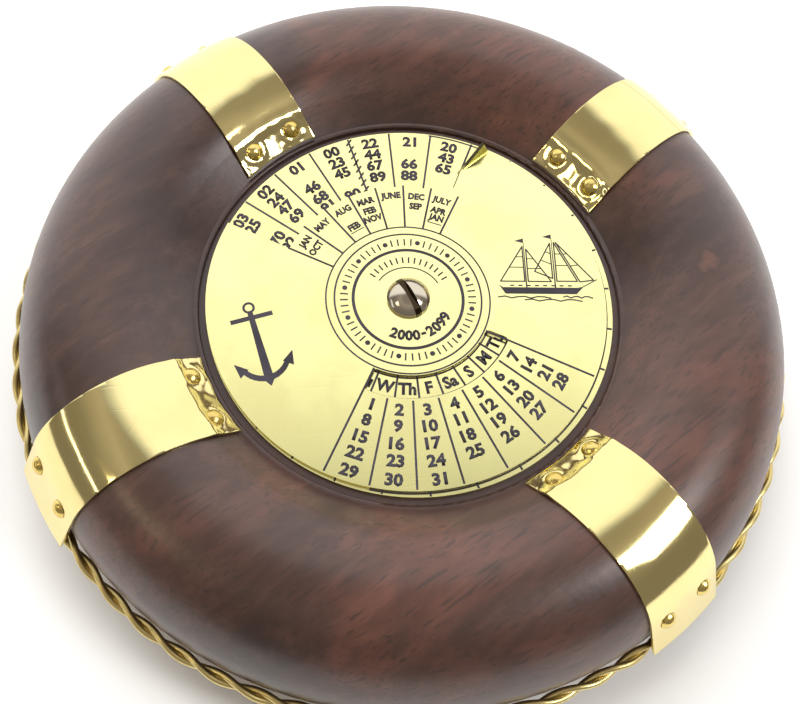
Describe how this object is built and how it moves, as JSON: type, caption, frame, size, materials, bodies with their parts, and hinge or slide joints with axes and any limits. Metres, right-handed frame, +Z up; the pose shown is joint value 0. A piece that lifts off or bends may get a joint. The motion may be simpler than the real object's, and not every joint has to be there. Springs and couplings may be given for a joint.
{
  "type": "perpetual desk calendar",
  "caption": "Perpetual desk calendar: two brass dials on a pivot screw in a turned wooden life ring with brass straps, pins and a wire rope.",
  "frame": {"origin": "centre of the base, on the surface it rests on; the ring's own axis", "axes": "+Z up through the dials, -Y towards the reader, +X to the reader's right"},
  "size_m": [0.153, 0.153, 0.0318],
  "materials": {
    "hardwood": "dark red-brown hardwood, turned, glossy lacquer",
    "felt": "thin dark green felt",
    "dial_brass": "smooth pale brass sheet with black-filled etching",
    "strap_brass": "polished thin brass sheet",
    "fixing_brass": "polished solid brass",
    "rope_brass": "bright brass wire, twisted"
  },
  "bodies": {
    "ring": {"wood_ring": "hardwood", "felt_base": "felt", "rear_dial": "dial_brass", "spacer_washer": "fixing_brass", "pivot_screw": "fixing_brass", "pivot_nut": "fixing_brass", "wire_rope": "rope_brass", "brass_strap_nw": "strap_brass", "inner_pins_nw": "fixing_brass", "outer_pins_nw": "fixing_brass", "brass_strap_ne": "strap_brass", "inner_pins_ne": "fixing_brass", "outer_pins_ne": "fixing_brass", "brass_strap_sw": "strap_brass", "inner_pins_sw": "fixing_brass", "outer_pins_sw": "fixing_brass", "brass_strap_se": "strap_brass", "inner_pins_se": "fixing_brass", "outer_pins_se": "fixing_brass"},
    "dial": {"front_dial": "dial_brass"}
  },
  "joints": [
    {"name": "front_dial_turn", "type": "hinge", "parent": "ring", "child": "dial", "pos_m": [-0.0007, 0.0001, 0.0228], "axis": [0, 0, 1], "continuous": true}
  ]
}
